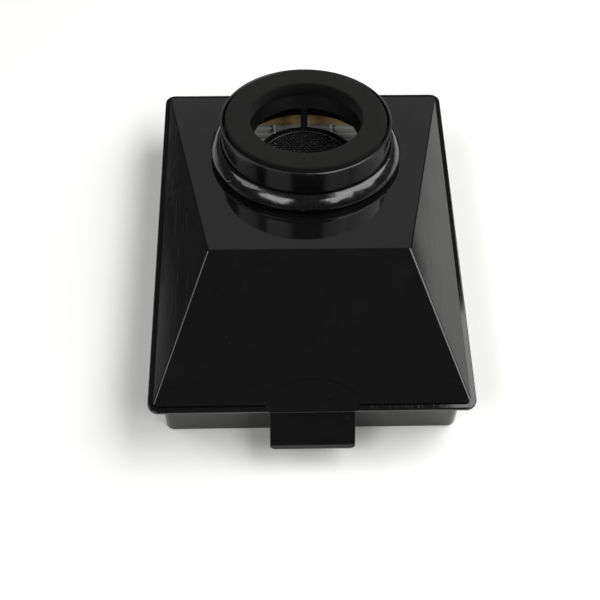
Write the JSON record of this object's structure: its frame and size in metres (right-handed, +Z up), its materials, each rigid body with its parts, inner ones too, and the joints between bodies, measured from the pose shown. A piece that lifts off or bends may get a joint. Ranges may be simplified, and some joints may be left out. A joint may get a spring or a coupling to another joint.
{
  "type": "air filter housing",
  "caption": "Boxed air filter cartridge: low hipped hood with a gasketed round port on its rear slope, a shallow tray holding a pleated media pack, and a sprung front release tab.",
  "frame": {"origin": "middle of the tray's underside, on the surface the cartridge rests on", "axes": "+Z up, +Y to the rear where the port is, -Y to the front where the release tab is, +X to the right seen from the front"},
  "size_m": [0.146, 0.1993, 0.0669],
  "materials": {
    "black_plastic": "glossy moulded black polystyrene or ABS, fine scratches",
    "glue_bead": "lumpy glossy hot melt over black plastic",
    "foam": "matte closed-cell foam",
    "tape": "adhesive film",
    "scrim": "white non-woven",
    "board": "matte white board",
    "media": "matte white glass-fibre paper",
    "spacer_glue": "white hot melt threads",
    "amber_sealant": "glossy amber sealant"
  },
  "bodies": {
    "cartridge": {"hood": "black_plastic", "port_collar": "black_plastic", "collar_glue_bead": "glue_bead", "port_gasket": "foam", "gasket_tape": "tape", "diffuser_cage": "black_plastic", "diffuser_screen": "black_plastic", "tray": "black_plastic", "rim_seal": "glue_bead", "outlet_grille": "black_plastic", "outlet_scrim": "scrim", "pack_bottom_seal": "foam", "frame_board_front": "board", "frame_board_rear": "board", "frame_board_left": "board", "frame_board_right": "board", "pleated_media": "media", "pleat_spacers_top": "spacer_glue", "pleat_spacers_bottom": "spacer_glue", "media_sealant": "amber_sealant", "tab_root": "black_plastic"},
    "release_tab": {"release_tab": "black_plastic"}
  },
  "joints": [
    {"name": "release_tab_flex", "type": "hinge", "parent": "cartridge", "child": "release_tab", "pos_m": [0, -0.0932, 0.0246], "axis": [1, 0, 0], "range_deg": [-6, 18], "stiffness_Nm_per_rad": 0.15}
  ]
}
